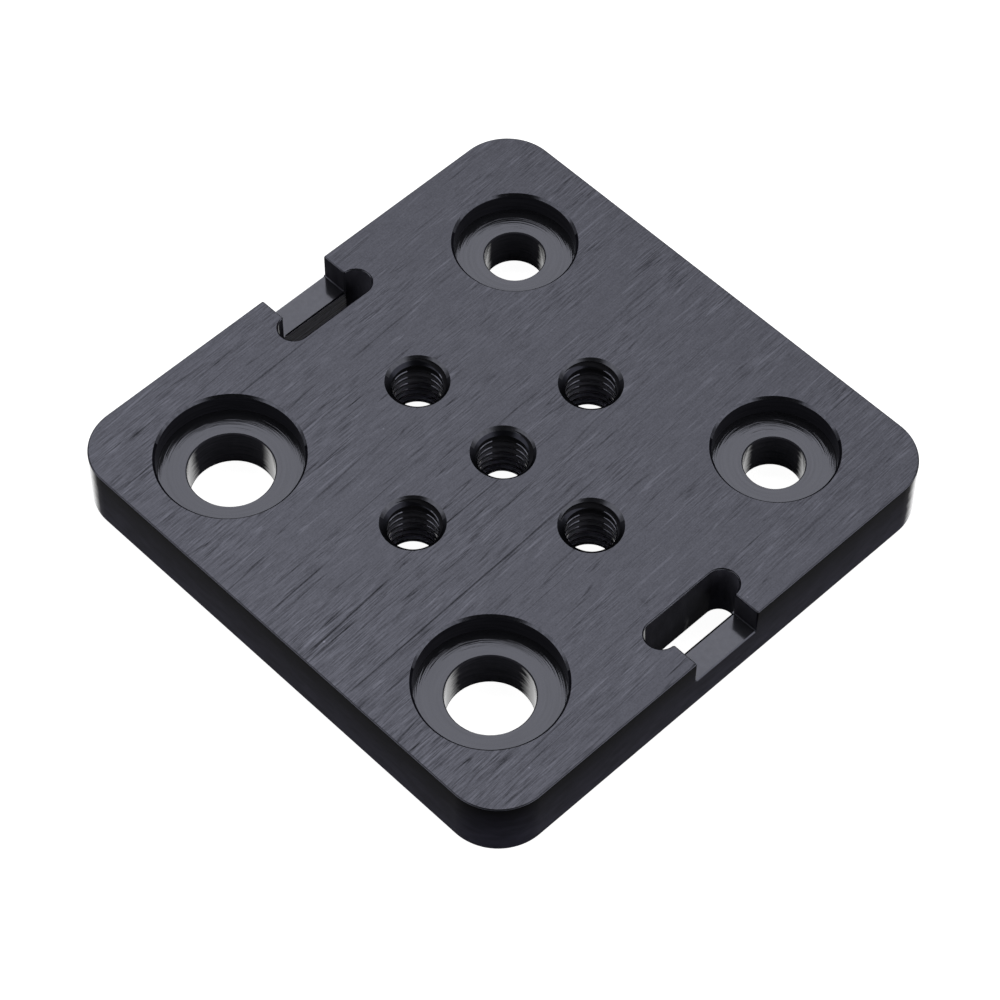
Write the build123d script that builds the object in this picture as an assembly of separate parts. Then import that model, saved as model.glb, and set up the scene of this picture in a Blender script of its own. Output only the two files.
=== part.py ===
from build123d import *
import os

# A small gantry plate: one piece of aluminium plate that carries four V wheels along a 20 mm slotted rail.
# X runs along the rail and Y across it. The origin is at the middle of the underside, and +Z comes out of
# the face with the counterbores. All sizes are in millimetres.

# The blank
plate_length = 50.0
plate_width = 50.0
plate_thickness = 5.8
corner_radius = 4.6
top_break = 0.12
bottom_break = 0.2

# Wheel holes: plain bores on the +Y side, wider bores for eccentric spacers on the -Y side
wheel_spacing_x = 30.0
wheel_spacing_y = 32.0
axle_bore_diameter = 5.1
axle_recess_diameter = 10.5
axle_recess_depth = 1.9
spacer_bore_diameter = 7.2
spacer_recess_diameter = 12.3
spacer_recess_depth = 1.9
hole_break = 0.1

# Cross of tapped holes in the middle
thread_spacing = 20.0
thread_diameter = 5.0
thread_pitch = 0.8
thread_mouth_diameter = 5.4
thread_foot_diameter = 4.5

# Belt slots near the two ends: the belt passes down through a slot and under a lowered bridge
slot_width = 2.7
slot_length = 9.6
bridge_width = 2.55
notch_width = 6.8
notch_depth = 2.5
bridge_break = 0.1

# A cut runs this far past the face that it opens
clear_of_face = 1.0

tap_drill_diameter = thread_diameter - thread_pitch
slot_centre_x = plate_length / 2 - bridge_width - slot_width / 2
bridge_top = plate_thickness - notch_depth
top_plane = Plane.XY.offset(plate_thickness)


def blank():
    """The sawn and squared plate, with rounded corners and broken edges."""
    body = extrude(RectangleRounded(plate_length, plate_width, corner_radius), amount=plate_thickness)
    top_rim = body.faces().sort_by(Axis.Z)[-1].outer_wire().edges()
    body = chamfer(top_rim, top_break)
    bottom_rim = body.faces().sort_by(Axis.Z)[0].outer_wire().edges()
    return chamfer(bottom_rim, bottom_break)


def stepped_hole(bore_diameter, recess_diameter, recess_depth):
    """The cutter of a counterbored through hole, turned about Z, with broken edges at each mouth."""
    bore = bore_diameter / 2
    recess = recess_diameter / 2
    floor = plate_thickness - recess_depth
    with BuildPart() as cutter:
        with BuildSketch(Plane.XZ):
            with BuildLine():
                Polyline(
                    (0, -clear_of_face),
                    (bore + bottom_break, -clear_of_face),
                    (bore + bottom_break, 0),
                    (bore, bottom_break),
                    (bore, floor - hole_break),
                    (bore + hole_break, floor),
                    (recess, floor),
                    (recess, plate_thickness - hole_break),
                    (recess + hole_break, plate_thickness),
                    (recess + hole_break, plate_thickness + clear_of_face),
                    (0, plate_thickness + clear_of_face),
                    close=True,
                )
            make_face()
        revolve(axis=Axis.Z)
    return cutter.part


def tapped_hole():
    """The cutter of a tapped through hole at its drill size, countersunk at both ends."""
    bore = tap_drill_diameter / 2
    mouth = thread_mouth_diameter / 2
    foot = thread_foot_diameter / 2
    with BuildPart() as cutter:
        with BuildSketch(Plane.XZ):
            with BuildLine():
                Polyline(
                    (0, -clear_of_face),
                    (foot, -clear_of_face),
                    (foot, 0),
                    (bore, foot - bore),
                    (bore, plate_thickness - (mouth - bore)),
                    (mouth, plate_thickness),
                    (mouth, plate_thickness + clear_of_face),
                    (0, plate_thickness + clear_of_face),
                    close=True,
                )
            make_face()
        revolve(axis=Axis.Z)
    return cutter.part


def belt_slot():
    """The cutter of one belt slot at the +X end: the slot, the notch over the bridge and their broken rim."""
    notch_length = plate_length / 2 - slot_centre_x + clear_of_face
    slot = Pos(slot_centre_x, 0) * SlotOverall(slot_length, slot_width, rotation=90)
    notch = Pos(slot_centre_x + notch_length / 2, 0) * Rectangle(notch_length, notch_width)
    through = Pos(0, 0, -clear_of_face) * extrude(slot, amount=plate_thickness + 2 * clear_of_face)
    lowered = Pos(0, 0, bridge_top) * extrude(notch, amount=notch_depth + clear_of_face)
    rim = extrude(top_plane * offset(slot + notch, top_break, kind=Kind.INTERSECTION), amount=-top_break, taper=45)
    foot = extrude(offset(slot, bottom_break), amount=bottom_break, taper=45)
    return through + lowered + rim + foot


def gantry_plate():
    """The finished plate."""
    body = blank()
    axle = stepped_hole(axle_bore_diameter, axle_recess_diameter, axle_recess_depth)
    spacer = stepped_hole(spacer_bore_diameter, spacer_recess_diameter, spacer_recess_depth)
    for side in (-1, 1):
        x = side * wheel_spacing_x / 2
        body -= Pos(x, wheel_spacing_y / 2) * axle
        body -= Pos(x, -wheel_spacing_y / 2) * spacer
    tapped = tapped_hole()
    body -= tapped
    for spot in PolarLocations(thread_spacing / 2, 4):
        body -= spot * tapped
    slot = belt_slot()
    for turn in (0, 180):
        body -= Rot(0, 0, turn) * slot
    bridge_rims = [
        edge
        for edge in body.edges().filter_by(Axis.Y).filter_by_position(Axis.Z, bridge_top, bridge_top)
        if edge.length < slot_length
    ]
    return chamfer(bridge_rims, bridge_break)


os.makedirs("parts", exist_ok=True)
plate = gantry_plate()
plate.label = "gantry_plate"
export_step(plate, "parts/gantry_plate.step")
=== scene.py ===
"""A black gantry plate of brushed and anodised aluminium, with wheel holes, tapped holes and belt slots."""
import math

import bmesh
import bpy
from mathutils import Matrix, Vector


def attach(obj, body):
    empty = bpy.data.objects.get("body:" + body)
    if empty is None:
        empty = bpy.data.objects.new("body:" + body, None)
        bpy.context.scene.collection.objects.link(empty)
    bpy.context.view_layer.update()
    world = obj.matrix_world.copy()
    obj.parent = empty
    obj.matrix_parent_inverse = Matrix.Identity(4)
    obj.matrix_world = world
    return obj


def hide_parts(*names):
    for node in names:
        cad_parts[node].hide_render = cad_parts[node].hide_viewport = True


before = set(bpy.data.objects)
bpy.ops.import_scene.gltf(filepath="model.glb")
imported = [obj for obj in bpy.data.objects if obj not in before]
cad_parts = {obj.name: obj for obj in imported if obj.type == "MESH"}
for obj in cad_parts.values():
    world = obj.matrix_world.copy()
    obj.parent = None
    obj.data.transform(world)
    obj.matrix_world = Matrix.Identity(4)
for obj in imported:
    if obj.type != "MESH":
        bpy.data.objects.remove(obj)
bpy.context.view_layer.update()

MM = 0.001

# The blank
PLATE_SIDE = 50.0 * MM
THICKNESS = 5.8 * MM
CORNER_RADIUS = 4.6 * MM
TOP_BREAK = 0.12 * MM
BOTTOM_BREAK = 0.2 * MM

# Wheel holes, with their recesses
WHEEL_X = 15.0 * MM
WHEEL_Y = 16.0 * MM
AXLE_BORE_RADIUS = 2.55 * MM
AXLE_RECESS_RADIUS = 5.25 * MM
SPACER_BORE_RADIUS = 3.6 * MM
SPACER_RECESS_RADIUS = 6.15 * MM
RECESS_DEPTH = 1.9 * MM
HOLE_BREAK = 0.1 * MM
# The recess rim's break reaches this much further in and down, and that band is painted grey where it looks
# to the front and black where it looks to the back, as painted light and shade
RIM_WIDENING = 0.1 * MM
BORE_FOOT = 0.3 * MM

# Tapped holes, with their countersinks
THREAD_OFFSET = 10.0 * MM
THREAD_RADIUS = 2.5 * MM
THREAD_PITCH = 0.8 * MM
DRILL_RADIUS = 2.1 * MM
MOUTH_RADIUS = 2.7 * MM
# The countersink's upper band of this height gets the grey finish where it looks to the front, painted
# light, and the darker finish below and behind it is painted shade
MOUTH_LIT_BAND = 0.3 * MM
FOOT_RADIUS = 2.25 * MM

# Belt slots, with the notch over the lowered bridge
SLOT_WIDTH = 2.7 * MM
SLOT_LENGTH = 9.6 * MM
BRIDGE_WIDTH = 2.55 * MM
NOTCH_WIDTH = 6.8 * MM
NOTCH_DEPTH = 2.5 * MM
BRIDGE_BREAK = 0.1 * MM
# The bridge's edge on the slot side is painted black as a shadow line, and on the +X bridge it is broken
# this wide so that the line shows
BRIDGE_SHADOW_BREAK = 0.24 * MM
NOTCH_FILLET = 0.09 * MM

# A cut runs this far past the face that it opens, and places closer than this count as the same
PAST_FACE = 1.0 * MM
NEAR = 0.002 * MM

# Steps round a rounded corner, and round the whole of each turned cutter
CORNER_STEPS = 32
SLOT_STEPS = 98
WHEEL_HOLE_STEPS = 192
TAPPED_HOLE_STEPS = 144

RECESS_FLOOR = THICKNESS - RECESS_DEPTH
BRIDGE_TOP = THICKNESS - NOTCH_DEPTH
HALF_SIDE = PLATE_SIDE / 2
SLOT_X = HALF_SIDE - BRIDGE_WIDTH - SLOT_WIDTH / 2
SLOT_OUTER_WALL = HALF_SIDE - BRIDGE_WIDTH
THREAD_TOP = THICKNESS - (MOUTH_RADIUS - DRILL_RADIUS)

# Each wheel hole has its place and the radii of its bore and its recess
WHEEL_HOLES = (
    (-WHEEL_X, WHEEL_Y, AXLE_BORE_RADIUS, AXLE_RECESS_RADIUS),
    (WHEEL_X, WHEEL_Y, AXLE_BORE_RADIUS, AXLE_RECESS_RADIUS),
    (-WHEEL_X, -WHEEL_Y, SPACER_BORE_RADIUS, SPACER_RECESS_RADIUS),
    (WHEEL_X, -WHEEL_Y, SPACER_BORE_RADIUS, SPACER_RECESS_RADIUS),
)

# Each tapped hole has its place and the angle in degrees at which its thread starts
TAPPED_HOLES = (
    (0.0, 0.0, 150),
    (THREAD_OFFSET, 0.0, 250),
    (-THREAD_OFFSET, 0.0, 190),
    (0.0, THREAD_OFFSET, 230),
    (0.0, -THREAD_OFFSET, 205),
)

# Marks of handling on the upper face, in millimetres. A scratch runs from a point to a lower one and has a
# width, and a speck or a smudge has a middle and a size. The last number is added to the brightness.
SCRATCHES = (
    ((7.04, 4.0), (7.45, -6.5), 0.11, -0.65),
    ((7.40, -5.2), (8.22, -24.8), 0.11, -0.80),
    ((2.60, -14.6), (3.42, -24.9), 0.13, -0.90),
    ((-7.62, -7.6), (-7.05, -14.6), 0.10, -0.50),
    ((-1.95, -17.2), (-1.50, -24.6), 0.12, -0.75),
    ((-1.10, -19.0), (-0.85, -24.0), 0.10, -0.50),
    ((2.90, -3.4), (3.05, -8.0), 0.10, -0.40),
    ((-16.22, 10.4), (-16.15, 7.0), 0.10, -0.45),
    ((19.95, 9.4), (20.05, 6.0), 0.10, -0.45),
)
SPECKS = (
    ((3.42, -22.7), 0.13, 1.6),
    ((22.62, -19.3), 0.12, 1.2),
    ((-8.40, -5.3), 0.10, 0.9),
    ((23.35, 3.9), 0.10, 1.0),
)
SMUDGES = (
    ((18.05, -2.15), 0.55, -0.34),
    ((18.9, -2.6), 0.35, -0.2),
)


# Hand tools

def use(piece):
    """Makes a piece the only selected and active one."""
    bpy.ops.object.select_all(action="DESELECT")
    piece.select_set(True)
    bpy.context.view_layer.objects.active = piece


def settle(piece):
    """Puts the piece's place, turn and size into its mesh."""
    use(piece)
    bpy.ops.object.transform_apply(location=True, rotation=True, scale=True)


def cut(piece, cutter, solver="EXACT"):
    """Takes the cutter out of the piece and throws the cutter away."""
    use(piece)
    cutting = piece.modifiers.new("cut", "BOOLEAN")
    cutting.operation = "DIFFERENCE"
    cutting.solver = solver
    cutting.object = cutter
    bpy.ops.object.modifier_apply(modifier=cutting.name)
    bpy.data.objects.remove(cutter)


def pick(piece, kind, test):
    """Selects those vertices, edges or faces of the piece in edit mode that pass the test."""
    bpy.ops.mesh.select_mode(type=kind)
    bpy.ops.mesh.select_all(action="DESELECT")
    mesh = bmesh.from_edit_mesh(piece.data)
    for part in {"VERT": mesh.verts, "EDGE": mesh.edges, "FACE": mesh.faces}[kind]:
        if test(part):
            part.select_set(True)
    bmesh.update_edit_mesh(piece.data)


def bevel_edges(piece, width, steps, picked):
    """Bevels the edges whose two ends pass the test, but none that lies inside a flat face."""
    flat = math.radians(2)

    def folded_and_picked(edge):
        start, end = edge.verts
        return edge.calc_face_angle(0.0) > flat and picked(start.co, end.co)

    use(piece)
    bpy.ops.object.mode_set(mode="EDIT")
    pick(piece, "EDGE", folded_and_picked)
    bpy.ops.mesh.bevel(offset=width, segments=steps, profile=0.5, clamp_overlap=False, loop_slide=False)
    bpy.ops.object.mode_set(mode="OBJECT")


def turned_cutter(profile, steps, place=(0.0, 0.0), stretch=0.0):
    """A cutter turned about Z from its radii and heights, and pulled out along Y where it cuts a slot."""
    radius, height = profile[0]
    foot = (0, 0, height)
    bpy.ops.mesh.primitive_circle_add(vertices=steps, radius=radius, fill_type="NGON", location=foot)
    cutter = bpy.context.object
    settle(cutter)
    bpy.ops.object.mode_set(mode="EDIT")
    bpy.ops.mesh.select_mode(type="FACE")
    bpy.ops.mesh.select_all(action="SELECT")
    for next_radius, next_height in profile[1:]:
        rise = (0, 0, next_height - height)
        bpy.ops.mesh.extrude_region_move(TRANSFORM_OT_translate={"value": rise})
        grow = next_radius / radius
        bpy.ops.transform.resize(value=(grow, grow, 1), center_override=(0, 0, next_height))
        radius, height = next_radius, next_height
    if stretch:
        for side in (-1, 1):
            pick(cutter, "VERT", lambda point: point.co.y * side > NEAR)
            bpy.ops.transform.translate(value=(0, side * stretch, 0))
    bpy.ops.mesh.select_mode(type="VERT")
    bpy.ops.mesh.select_all(action="SELECT")
    bpy.ops.transform.translate(value=(place[0], place[1], 0))
    bpy.ops.mesh.normals_make_consistent(inside=False)
    bpy.ops.object.mode_set(mode="OBJECT")
    return cutter


def block_cutter(low, high):
    """A square-cornered cutter between two corners."""
    middle = [(a + b) / 2 for a, b in zip(low, high)]
    size = [b - a for a, b in zip(low, high)]
    bpy.ops.mesh.primitive_cube_add(size=1, location=middle, scale=size)
    cutter = bpy.context.object
    settle(cutter)
    return cutter


def corner_file(corner, away, axis, width, length):
    """A square bar turned 45 degrees that files a corner along an axis, on the side that away points to."""
    side = 1.0 * MM
    reach = (side / 2 - width / math.sqrt(2)) / math.sqrt(2)
    middle = [place + reach * step for place, step in zip(corner, away)]
    turn = [math.radians(45) if i == axis else 0.0 for i in range(3)]
    size = [length if i == axis else side for i in range(3)]
    bpy.ops.mesh.primitive_cube_add(size=1, location=middle, rotation=turn, scale=size)
    cutter = bpy.context.object
    settle(cutter)
    return cutter


# The plate

def squared_blank():
    """The blank with rounded corners and a broken lower rim."""
    size = (PLATE_SIDE, PLATE_SIDE, THICKNESS)
    bpy.ops.mesh.primitive_cube_add(size=1, location=(0, 0, THICKNESS / 2), scale=size)
    blank = bpy.context.object
    blank.name = "plate"
    settle(blank)
    bevel_edges(blank, CORNER_RADIUS, CORNER_STEPS, lambda a, b: abs(a.z - b.z) > NEAR)
    bevel_edges(blank, BOTTOM_BREAK, 3, lambda a, b: max(a.z, b.z) < NEAR)
    return blank


def cut_belt_slots(plate):
    """The two slots, each with the notch over its bridge."""

    def along_notch_foot(a, b):
        return max(a.z, b.z) < BRIDGE_TOP + NEAR and abs(a.y - b.y) < NEAR

    round_end = SLOT_WIDTH / 2
    pull = SLOT_LENGTH / 2 - round_end
    profile = (
        (round_end + BOTTOM_BREAK, -PAST_FACE),
        (round_end + BOTTOM_BREAK, 0),
        (round_end, BOTTOM_BREAK),
        (round_end, THICKNESS + PAST_FACE),
    )
    for side in (-1, 1):
        cut(plate, turned_cutter(profile, SLOT_STEPS, (side * SLOT_X, 0), pull))
        ends = sorted((side * SLOT_X, side * (HALF_SIDE + PAST_FACE)))
        low = (ends[0], -NOTCH_WIDTH / 2, BRIDGE_TOP)
        high = (ends[1], NOTCH_WIDTH / 2, THICKNESS + PAST_FACE)
        notch = block_cutter(low, high)
        bevel_edges(notch, NOTCH_FILLET, 2, along_notch_foot)
        cut(plate, notch)


def break_upper_edges(plate):
    """The broken rim of the upper face, of the slots and of the bridges."""
    half_notch = NOTCH_WIDTH / 2
    crowded = 0.03 * MM

    def outer_notch_corner(a, b):
        upright = abs(a.z - b.z) > NEAR and a.z > BRIDGE_TOP - NEAR and b.z > BRIDGE_TOP - NEAR
        return upright and abs(abs(a.x) - HALF_SIDE) < NEAR and abs(abs(a.y) - half_notch) < NEAR

    bevel_edges(plate, TOP_BREAK, 2, outer_notch_corner)
    for side in (-1, 1):
        for end in (-1, 1):
            corner = (side * SLOT_OUTER_WALL, end * half_notch, THICKNESS)
            cut(plate, corner_file(corner, (-side, -end, 0), 2, TOP_BREAK, 2 * NOTCH_DEPTH))
    bpy.ops.object.mode_set(mode="EDIT")
    pick(plate, "VERT", lambda point: point.co.z > THICKNESS - NEAR)
    bpy.ops.mesh.remove_doubles(threshold=crowded)
    bpy.ops.object.mode_set(mode="OBJECT")
    bevel_edges(plate, TOP_BREAK, 3, lambda a, b: min(a.z, b.z) > THICKNESS - NEAR)
    rims = (
        (-HALF_SIDE, -1, BRIDGE_BREAK),
        (-SLOT_OUTER_WALL, 1, BRIDGE_BREAK),
        (SLOT_OUTER_WALL, -1, BRIDGE_SHADOW_BREAK),
        (HALF_SIDE, 1, BRIDGE_BREAK),
    )
    length = NOTCH_WIDTH - 2 * NOTCH_FILLET
    for rim, away, width in rims:
        cut(plate, corner_file((rim, 0, BRIDGE_TOP), (away, 0, 1), 1, width, length))


def cut_wheel_holes(plate):
    """The counterbored wheel holes, with their edges broken."""
    for x, y, bore, recess in WHEEL_HOLES:
        profile = (
            (bore + BOTTOM_BREAK, -PAST_FACE),
            (bore + BOTTOM_BREAK, 0),
            (bore, BOTTOM_BREAK),
            (bore, BORE_FOOT),
            (bore, RECESS_FLOOR - HOLE_BREAK),
            (bore + HOLE_BREAK, RECESS_FLOOR),
            (recess - RIM_WIDENING, RECESS_FLOOR),
            (recess - RIM_WIDENING, THICKNESS - HOLE_BREAK - RIM_WIDENING),
            (recess + HOLE_BREAK, THICKNESS),
            (recess + HOLE_BREAK, THICKNESS + PAST_FACE),
        )
        cut(plate, turned_cutter(profile, WHEEL_HOLE_STEPS, (x, y)))


def tap(x, y, turn):
    """A threading tap: one pitch of its profile wound up into a helix, closed at both ends."""
    inside_drill = 0.05 * MM
    root = DRILL_RADIUS - inside_drill
    worn_edge = 0.11 * MM
    slope = math.tan(math.radians(30))
    lower_flank = THREAD_RADIUS - root - worn_edge
    upper_flank = THREAD_RADIUS - root
    crest = THREAD_PITCH / 8
    rest = (THREAD_PITCH - crest - worn_edge - (lower_flank + upper_flank) * slope) / 2
    profile = (
        (0, rest),
        (worn_edge, worn_edge),
        (lower_flank, lower_flank * slope),
        (0, crest),
        (-upper_flank, upper_flank * slope),
        (0, rest),
    )
    turns = 10
    steps_per_turn = 72
    start = -1.1 * MM
    joined = 0.0005 * MM
    bpy.ops.mesh.primitive_plane_add(size=MM, location=(root, 0, start))
    tool = bpy.context.object
    settle(tool)
    bpy.ops.object.mode_set(mode="EDIT")
    bpy.ops.mesh.select_mode(type="VERT")
    bpy.ops.mesh.select_all(action="SELECT")
    bpy.ops.mesh.merge(type="CENTER")
    for out, up in profile:
        bpy.ops.mesh.extrude_region_move(TRANSFORM_OT_translate={"value": (out, 0, up)})
    bpy.ops.object.mode_set(mode="OBJECT")
    winding = tool.modifiers.new("winding", "SCREW")
    winding.axis = "Z"
    winding.angle = math.tau
    winding.screw_offset = THREAD_PITCH
    winding.iterations = turns
    winding.steps = steps_per_turn
    winding.render_steps = steps_per_turn
    bpy.ops.object.modifier_apply(modifier=winding.name)
    bpy.ops.object.mode_set(mode="EDIT")
    bpy.ops.mesh.select_all(action="SELECT")
    bpy.ops.mesh.remove_doubles(threshold=joined)
    for upper in (False, True):
        pick(tool, "EDGE", lambda edge: edge.is_boundary and (edge.verts[0].co.z > THICKNESS / 2) == upper)
        bpy.ops.mesh.extrude_region_move(TRANSFORM_OT_translate={"value": (0, 0, 0)})
        bpy.ops.mesh.merge(type="CENTER")
    bpy.ops.mesh.select_all(action="SELECT")
    bpy.ops.mesh.normals_make_consistent(inside=False)
    bpy.ops.object.mode_set(mode="OBJECT")
    tool.rotation_euler = (0, 0, math.radians(turn))
    tool.location = (x, y, 0)
    settle(tool)
    return tool


def cut_tapped_holes(plate):
    """The drilled and countersunk holes, each then tapped from its own starting angle."""
    profile = (
        (FOOT_RADIUS, -PAST_FACE),
        (FOOT_RADIUS, 0),
        (DRILL_RADIUS, FOOT_RADIUS - DRILL_RADIUS),
        (DRILL_RADIUS, THREAD_TOP),
        (MOUTH_RADIUS - MOUTH_LIT_BAND, THICKNESS - MOUTH_LIT_BAND),
        (MOUTH_RADIUS, THICKNESS),
        (MOUTH_RADIUS, THICKNESS + PAST_FACE),
    )
    for x, y, turn in TAPPED_HOLES:
        cut(plate, turned_cutter(profile, TAPPED_HOLE_STEPS, (x, y)))
    for x, y, turn in TAPPED_HOLES:
        cut(plate, tap(x, y, turn), "MANIFOLD")


def lay_flat_faces(plate):
    """Takes out the upper and the lower face, with the slivers from the cuts, and fills them anew."""
    sliver = 0.0001 * MM
    use(plate)
    bpy.ops.object.mode_set(mode="EDIT")
    bpy.ops.mesh.select_all(action="SELECT")
    bpy.ops.mesh.dissolve_degenerate(threshold=sliver)
    for height in (0.0, THICKNESS):
        pick(plate, "FACE", lambda face: all(abs(point.co.z - height) < NEAR for point in face.verts))
        bpy.ops.mesh.delete(type="FACE")
        bpy.ops.mesh.select_mode(type="EDGE")
        bpy.ops.mesh.select_non_manifold(
            extend=False, use_wire=False, use_multi_face=False, use_non_contiguous=False, use_verts=False
        )
        bpy.ops.mesh.fill(use_beauty=True)
    bpy.ops.mesh.select_mode(type="FACE")
    bpy.ops.mesh.select_all(action="SELECT")
    bpy.ops.mesh.normals_make_consistent(inside=False)
    bpy.ops.object.mode_set(mode="OBJECT")


# Finishes

def new_finish(name):
    """A new material, with its node tree and its shader."""
    finish = bpy.data.materials.new(name)
    finish.use_nodes = True
    tree = finish.node_tree
    shader = tree.nodes["Principled BSDF"]
    return finish, tree, shader


def node(tree, kind, **values):
    """A node of the kind, with its settings."""
    made = tree.nodes.new(kind)
    for key, value in values.items():
        setattr(made, key, value)
    return made


def arithmetic(tree, operation, first, second=None, third=None):
    """A Math node, with each input a link or a number."""
    made = node(tree, "ShaderNodeMath", operation=operation)
    for socket, value in zip(made.inputs, (first, second, third)):
        if value is None:
            continue
        if isinstance(value, (int, float)):
            socket.default_value = value
        else:
            tree.links.new(value, socket)
    return made.outputs[0]


def streaks(tree, where, scale, detail=2.0, roughness=0.6):
    """Noise drawn out into lines: scale gives the lines per metre along each axis."""
    mapping = node(tree, "ShaderNodeMapping")
    mapping.inputs["Scale"].default_value = scale
    tree.links.new(where, mapping.inputs["Vector"])
    noise = node(tree, "ShaderNodeTexNoise")
    noise.inputs["Scale"].default_value = 1.0
    noise.inputs["Detail"].default_value = detail
    noise.inputs["Roughness"].default_value = roughness
    tree.links.new(mapping.outputs[0], noise.inputs["Vector"])
    return noise.outputs["Fac"]


def remap(tree, value, low, high, new_low, new_high):
    """Maps a range of values to another, and holds it there."""
    made = node(tree, "ShaderNodeMapRange")
    tree.links.new(value, made.inputs["Value"])
    for key, number in zip(("From Min", "From Max", "To Min", "To Max"), (low, high, new_low, new_high)):
        made.inputs[key].default_value = number
    return made.outputs[0]


def split_axes(tree, place):
    """The X, Y and Z of a place."""
    split = node(tree, "ShaderNodeSeparateXYZ")
    tree.links.new(place, split.inputs[0])
    return split.outputs


def tone(tree, shader, colour, factor):
    """Sets the shader's colour to one colour times a factor."""
    scaled = node(tree, "ShaderNodeVectorMath", operation="SCALE")
    scaled.inputs[0].default_value = colour
    tree.links.new(factor, scaled.inputs["Scale"])
    tree.links.new(scaled.outputs[0], shader.inputs["Base Color"])


def bump(tree, shader, height, depth):
    """Turns a height of 0 to 1 into relief of a depth in metres."""
    relief = node(tree, "ShaderNodeBump")
    relief.inputs["Strength"].default_value = 1.0
    relief.inputs["Distance"].default_value = depth
    tree.links.new(height, relief.inputs["Height"])
    tree.links.new(relief.outputs[0], shader.inputs["Normal"])


def level(tree, noise, low, high):
    """A noise value, which seldom leaves 0.28 to 0.72, spread over a range of brightness."""
    return remap(tree, noise, 0.28, 0.72, low, high)


def scores(tree, along, across, lengthwise, width, depth):
    """Thin broken lines, where a drawn-out noise passes through its middle value."""
    noise = streaks(tree, along, (across, lengthwise, lengthwise), 0.0)
    off = arithmetic(tree, "ABSOLUTE", arithmetic(tree, "SUBTRACT", noise, 0.5))
    line = remap(tree, off, 0.0, width, depth, 0.0)
    broken = streaks(tree, along, (across * 0.6, lengthwise * 3, lengthwise), 1.0, 0.5)
    return arithmetic(tree, "MULTIPLY", line, remap(tree, broken, 0.48, 0.62, 0.0, 1.0))


def scratch(tree, axes, start, end, width, depth):
    """A thin line on the upper face, from one point to a lower one in millimetres, with faded ends."""
    fade = 1.5
    slope = (end[0] - start[0]) / (end[1] - start[1])
    middle = arithmetic(tree, "MULTIPLY_ADD", axes["Y"], slope, (start[0] - slope * start[1]) * MM)
    off = arithmetic(tree, "ABSOLUTE", arithmetic(tree, "SUBTRACT", axes["X"], middle))
    line = remap(tree, off, 0.0, width, depth, 0.0)
    low = remap(tree, axes["Y"], end[1] * MM, (end[1] + fade) * MM, 0.0, 1.0)
    high = remap(tree, axes["Y"], (start[1] - fade) * MM, start[1] * MM, 1.0, 0.0)
    return arithmetic(tree, "MULTIPLY", line, arithmetic(tree, "MULTIPLY", low, high))


def spot(tree, place, middle, size, depth):
    """A soft round mark about a point of the upper face, given in millimetres."""
    apart = node(tree, "ShaderNodeVectorMath", operation="DISTANCE")
    tree.links.new(place, apart.inputs[0])
    apart.inputs[1].default_value = (middle[0] * MM, middle[1] * MM, THICKNESS)
    return remap(tree, apart.outputs["Value"], 0.0, size, depth, 0.0)


def brush_lines(tree, along, axes, fine, drawn):
    """The brightness of the brush lines: fine and drawn ones in patches, with dark and light scores."""
    patches = streaks(tree, along, (420, 110, 110), 1.0, 0.5)
    patchy = remap(tree, patches, 0.40, 0.62, 0.35, 1.15)
    rough_front = remap(tree, axes["Y"], -14.0 * MM, -22.0 * MM, 0.0, 0.75)
    rough_back = remap(tree, axes["Y"], 21.0 * MM, 24.0 * MM, 0.0, 0.35)
    worn = arithmetic(tree, "ADD", patchy, arithmetic(tree, "ADD", rough_front, rough_back))
    lines = arithmetic(tree, "ADD", level(tree, fine, -0.3, 0.3), level(tree, drawn, -0.15, 0.15))
    lines = arithmetic(tree, "MULTIPLY", lines, worn)
    deep = scores(tree, along, 1500, 35, 0.015, -0.66)
    deep = arithmetic(tree, "ADD", deep, scores(tree, along, 2900, 75, 0.032, -0.5))
    calm_back = remap(tree, axes["Y"], -2.0 * MM, 14.0 * MM, 1.0, 0.5)
    lines = arithmetic(tree, "MULTIPLY_ADD", deep, calm_back, lines)
    return arithmetic(tree, "ADD", lines, scores(tree, along, 3600, 90, 0.04, 0.42))


def handling_marks(tree, place, axes, uneven, factor, scratches, specks, smudges):
    """Adds each scratch, speck and smudge to a brightness."""
    for start, end, width, depth in scratches:
        line = arithmetic(tree, "MULTIPLY", scratch(tree, axes, start, end, width * MM, depth), uneven)
        factor = arithmetic(tree, "ADD", factor, line)
    for middle, size, depth in specks:
        factor = arithmetic(tree, "ADD", factor, spot(tree, place, middle, size * MM, depth))
    for middle, size, depth in smudges:
        mark = arithmetic(tree, "MULTIPLY", spot(tree, place, middle, size * MM, depth), uneven)
        factor = arithmetic(tree, "ADD", factor, mark)
    return factor


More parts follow.
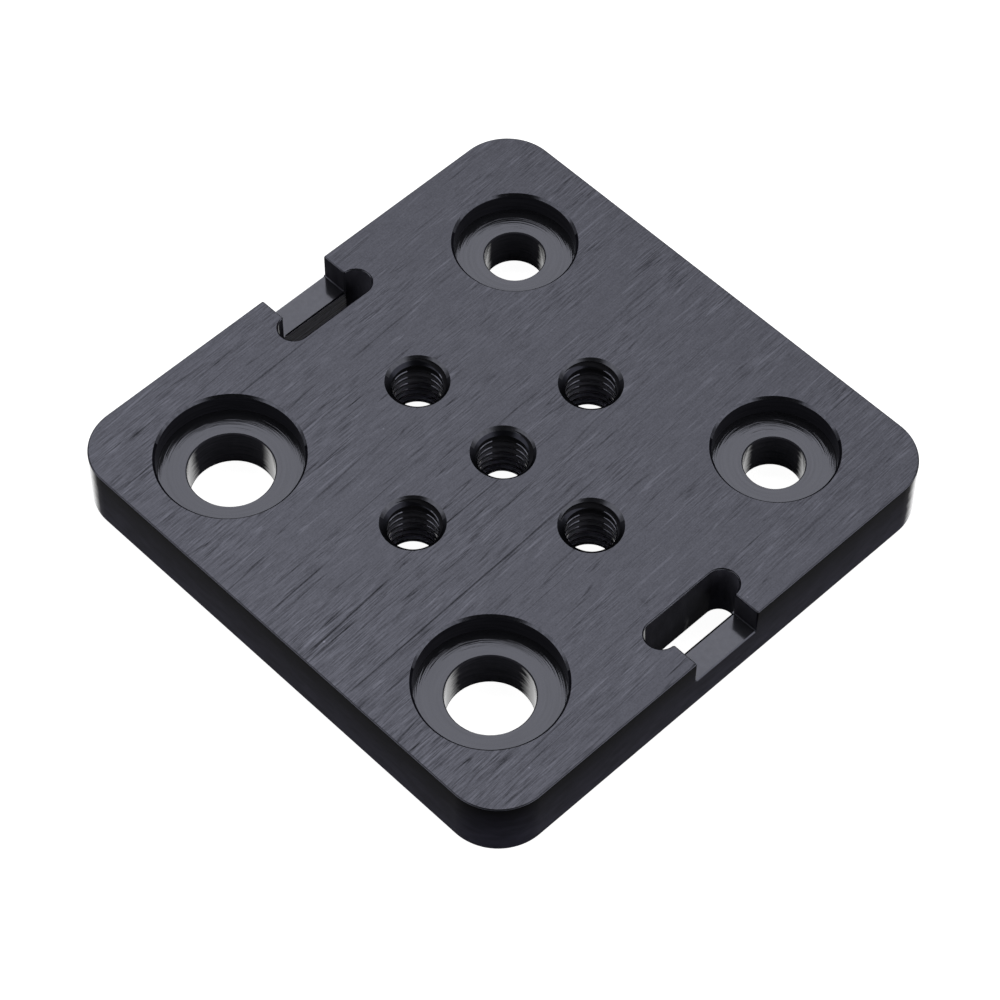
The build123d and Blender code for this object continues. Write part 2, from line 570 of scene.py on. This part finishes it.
def brushed_finish(name, scratches=(), specks=(), smudges=()):
    """The upper and lower face: brushed nearly along Y, then anodised black, with the marks of handling and
    a painted fall of light from -Y to +Y.
    """
    brush_lean = math.radians(-2.6)
    darkest = 0.15
    finish, tree, shader = new_finish(name)
    place = node(tree, "ShaderNodeTexCoord").outputs["Object"]
    axes = split_axes(tree, place)
    lean = node(tree, "ShaderNodeMapping")
    lean.inputs["Rotation"].default_value = (0.0, 0.0, brush_lean)
    tree.links.new(place, lean.inputs["Vector"])
    along = lean.outputs[0]
    grain = streaks(tree, place, (8000, 8000, 8000), 1.0, 0.5)
    fine = streaks(tree, along, (11000, 500, 500), 2.0, 0.6)
    drawn = streaks(tree, along, (6600, 260, 260), 1.0, 0.5)
    lines = brush_lines(tree, along, axes, fine, drawn)
    speckled = arithmetic(tree, "ADD", lines, level(tree, grain, -0.12, 0.12))
    # Painted light: the colour is lighter toward -Y and darker toward +Y, as light falls across the face
    painted_light_falloff = remap(tree, axes["Y"], -HALF_SIDE, HALF_SIDE, 1.09, 0.92)
    factor = arithmetic(tree, "ADD", speckled, painted_light_falloff)
    uneven = level(tree, fine, 0.5, 1.5)
    factor = handling_marks(tree, place, axes, uneven, factor, scratches, specks, smudges)
    tone(tree, shader, (0.0895, 0.0912, 0.111), arithmetic(tree, "MAXIMUM", factor, darkest))
    rough = remap(tree, drawn, 0.3, 0.7, 0.34, 0.42)
    tree.links.new(rough, shader.inputs["Roughness"])
    shader.inputs["Metallic"].default_value = 1.0
    bump(tree, shader, drawn, 0.003 * MM)
    return finish


def turned_finish(name, colour, roughness, depth):
    """A recess floor, faced by a turning cutter that left rings about each wheel hole."""
    crowding = 30.0
    finish, tree, shader = new_finish(name)
    place = node(tree, "ShaderNodeTexCoord").outputs["Object"]
    fold = node(tree, "ShaderNodeVectorMath", operation="ABSOLUTE")
    tree.links.new(place, fold.inputs[0])
    centred = node(tree, "ShaderNodeVectorMath", operation="SUBTRACT")
    tree.links.new(fold.outputs[0], centred.inputs[0])
    centred.inputs[1].default_value = (WHEEL_X, WHEEL_Y, RECESS_FLOOR)
    apart = node(tree, "ShaderNodeVectorMath", operation="LENGTH")
    tree.links.new(centred.outputs[0], apart.inputs[0])
    polar = node(tree, "ShaderNodeCombineXYZ")
    tree.links.new(arithmetic(tree, "MULTIPLY", apart.outputs["Value"], crowding), polar.inputs["X"])
    around = node(tree, "ShaderNodeVectorMath", operation="ADD")
    tree.links.new(polar.outputs[0], around.inputs[0])
    tree.links.new(place, around.inputs[1])
    rings = streaks(tree, around.outputs[0], (260, 260, 260), 2.0, 0.5)
    tone(tree, shader, colour, level(tree, rings, 0.92, 1.08))
    shader.inputs["Metallic"].default_value = 0.75
    shader.inputs["Roughness"].default_value = roughness
    bump(tree, shader, rings, depth)
    return finish


def grey_metal(name, colour, roughness, fleck=0.08, metallic=1.0):
    """A smooth machined finish that shows the light above it, with a faint mottle."""
    finish, tree, shader = new_finish(name)
    place = node(tree, "ShaderNodeTexCoord").outputs["Object"]
    mottle = streaks(tree, place, (2600, 2600, 2600), 2.0, 0.6)
    tone(tree, shader, colour, level(tree, mottle, 1.0 - fleck, 1.0 + fleck))
    shader.inputs["Metallic"].default_value = metallic
    shader.inputs["Roughness"].default_value = roughness
    return finish


def dark_coat(
    name, colour, roughness, index,
    grain=(500, 500, 1400), spread=0.25, depth=0.0, onset=0.69, ragged=0.08, painted_light_ramp=None
):
    """A wall under black anodising: black from the front, with a gloss that sets in along its surface, and,
    where it is given, painted light that makes it lighter or darker along one axis.
    """
    sharpness = 0.11
    finish, tree, shader = new_finish(name)
    place = node(tree, "ShaderNodeTexCoord").outputs["Object"]
    cloud = streaks(tree, place, grain, 2.0, 0.55)
    factor = level(tree, cloud, 1.0 - spread, 1.0 + spread)
    # Painted light and shade: the colour is made lighter or darker along one axis, where the lamps would
    # light the wall more or less
    if painted_light_ramp:
        axis, start, end, first, last = painted_light_ramp
        shade = remap(tree, split_axes(tree, place)[axis], start, end, first, last)
        factor = arithmetic(tree, "MULTIPLY", factor, shade)
    tone(tree, shader, colour, factor)
    shader.inputs["Roughness"].default_value = roughness
    shader.inputs["IOR"].default_value = index
    if depth:
        bump(tree, shader, cloud, depth)
    if onset:
        view = node(tree, "ShaderNodeLayerWeight")
        view.inputs["Blend"].default_value = 0.5
        turned = arithmetic(tree, "MULTIPLY_ADD", cloud, ragged, view.outputs["Facing"])
        gloss = remap(tree, turned, onset, onset + sharpness, 0.0, 1.0)
        tree.links.new(gloss, shader.inputs["Coat Weight"])
        shader.inputs["Coat IOR"].default_value = 1.9
        shader.inputs["Coat Roughness"].default_value = 0.1
    return finish


# Which finish goes where, by the parts of a face's normal: a level face has this much of Z, a corner broken
# at 45 degrees has between these two, and the upright faces of a bridge have this much of X
LEVEL_FROM = 0.99
BROKEN_CORNER = (0.6, 0.8)
UPRIGHT_FROM = 0.9

# Painted light and shade: a rim or a countersink gets the grey finish that catches the lamps from this much
# to the front and a darker one behind, and the far wall's thread edges are painted black from this much to
# the front
PAINTED_LIT_FROM = 0.2
FAR_WALL_FROM = 0.88


def to_front(normal):
    """How far a face looks to the front of the studio, toward +X and -Y."""
    return normal.x - normal.y


def rim_finish(normal):
    """A rim is painted lit and shaded: the grey finish where it looks to the front, and black where it
    looks to the back.
    """
    return "lit_rim" if to_front(normal) > PAINTED_LIT_FROM else "hole_rim"


def tapped_hole_finish(centre, normal):
    """The finish of a face inside a tapped hole."""
    flank_slope = 0.3
    # Painted light and shade: the countersink's upper band is grey only where it looks to the front and
    # darker below and behind, and the thread edges on the far wall are black
    if BROKEN_CORNER[0] < normal.z < BROKEN_CORNER[1]:
        if centre.z > THICKNESS - MOUTH_LIT_BAND and to_front(normal) > PAINTED_LIT_FROM:
            return "countersink"
        if centre.z > THREAD_TOP:
            return "shaded_sink"
        return "thread_edge" if to_front(normal) < FAR_WALL_FROM else "thread_crest"
    return "thread_flank" if normal.z > flank_slope else "thread_crest"


def wheel_hole_finish(centre, normal):
    """The finish of a face inside a wheel hole."""
    if abs(centre.z - RECESS_FLOOR) < NEAR and normal.z > LEVEL_FROM:
        return "recess_floor"
    if centre.z > THICKNESS - HOLE_BREAK - RIM_WIDENING:
        return rim_finish(normal)
    if centre.z < BORE_FOOT:
        return "hole_rim"
    return "recess_wall" if centre.z > RECESS_FLOOR else "bore_wall"


def slot_finish(centre, normal):
    """The finish of a face of a slot, a bridge or the plate's outline."""
    sloping = 0.1
    steep = 0.5
    if abs(centre.z - BRIDGE_TOP) < NEAR and normal.z > LEVEL_FROM:
        return "bridge"
    in_slot = abs(abs(centre.x) - SLOT_X) < SLOT_WIDTH and abs(centre.y) < SLOT_LENGTH
    if centre.z > THICKNESS - TOP_BREAK:
        in_notch = abs(centre.x) > SLOT_OUTER_WALL + TOP_BREAK
        if in_slot and not in_notch:
            return rim_finish(normal)
        return "edge" if normal.z > steep else "side"
    if abs(centre.z - BRIDGE_TOP) < BRIDGE_SHADOW_BREAK and normal.z > sloping:
        along_slot = abs(centre.x) < SLOT_OUTER_WALL + BRIDGE_SHADOW_BREAK and abs(normal.x) > steep
        # Painted shadow: the bridge's break along the slot is black, the other bridge breaks are grey
        return "hole_rim" if along_slot else "edge"
    if abs(abs(centre.x) - SLOT_OUTER_WALL) < NEAR and abs(normal.x) > UPRIGHT_FROM:
        return "web"
    return "slot_wall" if in_slot else "side"


def finish_of(face):
    """The finish of a face, by its place and the way it looks."""
    centre = face.center
    normal = face.normal
    if normal.z > LEVEL_FROM and centre.z > THICKNESS - NEAR:
        return "brushed"
    if normal.z < -LEVEL_FROM and centre.z < NEAR:
        return "underside"
    for x, y, turn in TAPPED_HOLES:
        if math.hypot(centre.x - x, centre.y - y) < MOUTH_RADIUS - NEAR:
            return tapped_hole_finish(centre, normal)
    for x, y, bore, recess in WHEEL_HOLES:
        if math.hypot(centre.x - x, centre.y - y) < recess + HOLE_BREAK:
            return wheel_hole_finish(centre, normal)
    return slot_finish(centre, normal)


def plate_finishes():
    """Every finish of the plate, by the name of the faces that it goes on."""
    # Painted light along an axis: the +Y end of each slot wall is lighter, the sides are lighter toward
    # their foot and nearly black at the top, and the thread flanks and crests are lighter toward the foot
    # of each hole, against the shade deep inside it
    painted_light_at_slot_end = ("Y", 3.45 * MM, 4.4 * MM, 1.0, 2.2)
    painted_light_at_side_foot = ("Z", 0.0, THICKNESS, 2.5, 0.05)
    painted_light_at_flank_foot = ("Z", 0.5 * MM, 4.4 * MM, 6.5, 0.2)
    painted_light_at_crest_foot = ("Z", 1.0 * MM, 4.9 * MM, 2.4, 0.2)
    return {
        "brushed": brushed_finish("brushed_black", SCRATCHES, SPECKS, SMUDGES),
        "underside": brushed_finish("brushed_under"),
        "recess_floor": turned_finish("faced_black", (0.095, 0.097, 0.115), 0.1, 0.018 * MM),
        "recess_wall": dark_coat(
            "turned_black", (0.034, 0.034, 0.043), 0.25, 1.03, (300, 300, 5000), onset=0.0
        ),
        "bore_wall": dark_coat(
            "bored_black", (0.05, 0.05, 0.062), 0.2, 1.02, (500, 500, 5000),
            depth=0.002 * MM, onset=0.7, ragged=0.2
        ),
        "slot_wall": dark_coat(
            "slotted_black", (0.036, 0.036, 0.046), 0.3, 1.02, (900, 900, 400), painted_light_ramp=painted_light_at_slot_end
        ),
        "hole_rim": dark_coat("rim_black", (0.01, 0.01, 0.014), 0.3, 1.02, onset=0.0),
        # This grey rim finish goes only where a rim looks to the front, as painted light
        "lit_rim": grey_metal("lit_rim_black", (0.09, 0.092, 0.112), 0.23, 0.3),
        "bridge": grey_metal("milled_black", (0.1, 0.102, 0.122), 0.13, metallic=0.7),
        "edge": grey_metal("edge_black", (0.1, 0.102, 0.125), 0.3),
        "web": dark_coat(
            "web_black", (0.122, 0.121, 0.155), 0.25, 1.1, (200, 200, 5500), spread=1.0, depth=0.016 * MM
        ),
        "side": dark_coat("side_black", (0.0185, 0.018, 0.0275), 0.2, 1.033, onset=0.78, painted_light_ramp=painted_light_at_side_foot),
        "countersink": grey_metal("countersunk_black", (0.098, 0.1, 0.118), 0.3, 0.2),
        # This darker copy of the countersink finish is painted shade
        "shaded_sink": grey_metal("shaded_sink_black", (0.036, 0.037, 0.048), 0.3),
        # The thread edges get this grey finish that catches the lamps, except on the far wall, where they
        # are painted black as shade
        "thread_edge": grey_metal("lit_edge_black", (0.105, 0.107, 0.13), 0.15, 0.4),
        "thread_flank": dark_coat(
            "tapped_black", (0.11, 0.11, 0.13), 0.25, 1.03, onset=0.0, painted_light_ramp=painted_light_at_flank_foot
        ),
        "thread_crest": dark_coat(
            "crest_black", (0.085, 0.085, 0.1), 0.25, 1.02, onset=0.7, painted_light_ramp=painted_light_at_crest_foot
        ),
    }


def dress(plate):
    """Gives each face of the plate its finish."""
    finishes = plate_finishes()
    names = list(finishes)
    plate.data.materials.clear()
    for finish in finishes.values():
        plate.data.materials.append(finish)
    for face in plate.data.polygons:
        face.material_index = names.index(finish_of(face))


def smooth_curves(plate):
    """Smooth shading on turned and bevelled surfaces, with the flat ones left flat."""
    sharp_from = math.radians(36)
    flat = 0.9999
    use(plate)
    bpy.ops.object.shade_smooth_by_angle(angle=sharp_from)
    bpy.ops.object.mode_set(mode="EDIT")
    pick(plate, "FACE", lambda face: abs(face.normal.z) > flat)
    bpy.ops.mesh.region_to_loop()
    bpy.ops.mesh.mark_sharp()
    bpy.ops.object.mode_set(mode="OBJECT")
    evening = plate.modifiers.new("evening", "WEIGHTED_NORMAL")
    evening.keep_sharp = True
    evening.weight = 100
    bpy.ops.object.modifier_apply(modifier=evening.name)


# Camera, floor and lights

def aim_camera():
    """The camera of the photograph, fitted to the plate's outline and hole rims."""
    data = bpy.data.cameras.new("camera")
    data.sensor_fit = "HORIZONTAL"
    data.sensor_width = 36.0
    data.lens = 133.303
    camera = bpy.data.objects.new("camera", data)
    bpy.context.scene.collection.objects.link(camera)
    right = Vector((0.69785043, 0.71622880, 0.00459052))
    up = Vector((-0.58397966, 0.56526059, 0.58262185))
    back = Vector((0.41469571, -0.40926368, 0.81273040))
    place = Vector((125.50129, -124.16448, 245.46251)) * MM
    camera.matrix_world = Matrix.Translation(place) @ Matrix((right, up, back)).transposed().to_4x4()
    bpy.context.scene.camera = camera


def lay_floor():
    """A pale floor that the camera and clear reflections see as white."""
    side = 3.0
    added_white = 0.96
    bpy.ops.mesh.primitive_plane_add(size=side, location=(0, 0, 0))
    floor = bpy.context.object
    floor.name = "floor"
    settle(floor)
    finish, tree, shader = new_finish("pale_floor")
    shader.inputs["Base Color"].default_value = (0.8, 0.8, 0.8, 1.0)
    shader.inputs["Roughness"].default_value = 1.0
    shader.inputs["Specular IOR Level"].default_value = 0.0
    path = node(tree, "ShaderNodeLightPath")
    seen = arithmetic(tree, "MAXIMUM", path.outputs["Is Camera Ray"], path.outputs["Is Glossy Ray"])
    seen = arithmetic(tree, "MAXIMUM", seen, path.outputs["Is Transmission Ray"])
    glow = arithmetic(tree, "MULTIPLY", seen, added_white)
    shader.inputs["Emission Color"].default_value = (1.0, 1.0, 1.0, 1.0)
    tree.links.new(glow, shader.inputs["Emission Strength"])
    floor.data.materials.append(finish)


def softbox(name, azimuth, elevation, distance, size, power):
    """An area light that looks at the plate from a direction in degrees."""
    data = bpy.data.lights.new(name, "AREA")
    data.shape = "RECTANGLE"
    data.size, data.size_y = size
    data.energy = power
    lamp = bpy.data.objects.new(name, data)
    bpy.context.scene.collection.objects.link(lamp)
    flat = math.cos(math.radians(elevation))
    toward = Vector((
        flat * math.cos(math.radians(azimuth)),
        flat * math.sin(math.radians(azimuth)),
        math.sin(math.radians(elevation)),
    ))
    turn = toward.to_track_quat("Z", "Y").to_matrix().to_4x4()
    lamp.matrix_world = Matrix.Translation(toward * distance) @ turn


def light_studio():
    """A large softbox above the back, one at each side, and a dim room with a pale foot for reflections."""
    distance = 0.6
    dim = 0.04
    pale = 0.4
    softbox("back", 135, 56, distance, (0.7, 0.5), 1.5)
    softbox("left", 243, 27, distance, (0.6, 0.32), 0.62)
    softbox("right", 25, 31, distance, (0.65, 0.42), 0.88)
    world = bpy.data.worlds.new("room")
    world.use_nodes = True
    tree = world.node_tree
    background = tree.nodes["Background"]
    background.inputs["Color"].default_value = (1.0, 1.0, 1.0, 1.0)
    height = split_axes(tree, node(tree, "ShaderNodeTexCoord").outputs["Generated"])["Z"]
    foot = remap(tree, height, 0.1, 0.42, pale, dim)
    in_gloss = node(tree, "ShaderNodeLightPath").outputs["Is Glossy Ray"]
    reflected = arithmetic(tree, "MULTIPLY", foot, in_gloss)
    tree.links.new(arithmetic(tree, "MAXIMUM", reflected, dim), background.inputs["Strength"])
    bpy.context.scene.world = world


def main():
    """Makes the plate and its studio."""
    bpy.ops.object.select_all(action="DESELECT")
    bpy.context.scene.view_settings.view_transform = "Standard"
    aim_camera()
    lay_floor()
    light_studio()
    plate = squared_blank()
    cut_belt_slots(plate)
    break_upper_edges(plate)
    cut_wheel_holes(plate)
    cut_tapped_holes(plate)
    lay_flat_faces(plate)
    dress(plate)
    smooth_curves(plate)
    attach(plate, "root")
    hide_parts("gantry_plate")


main()
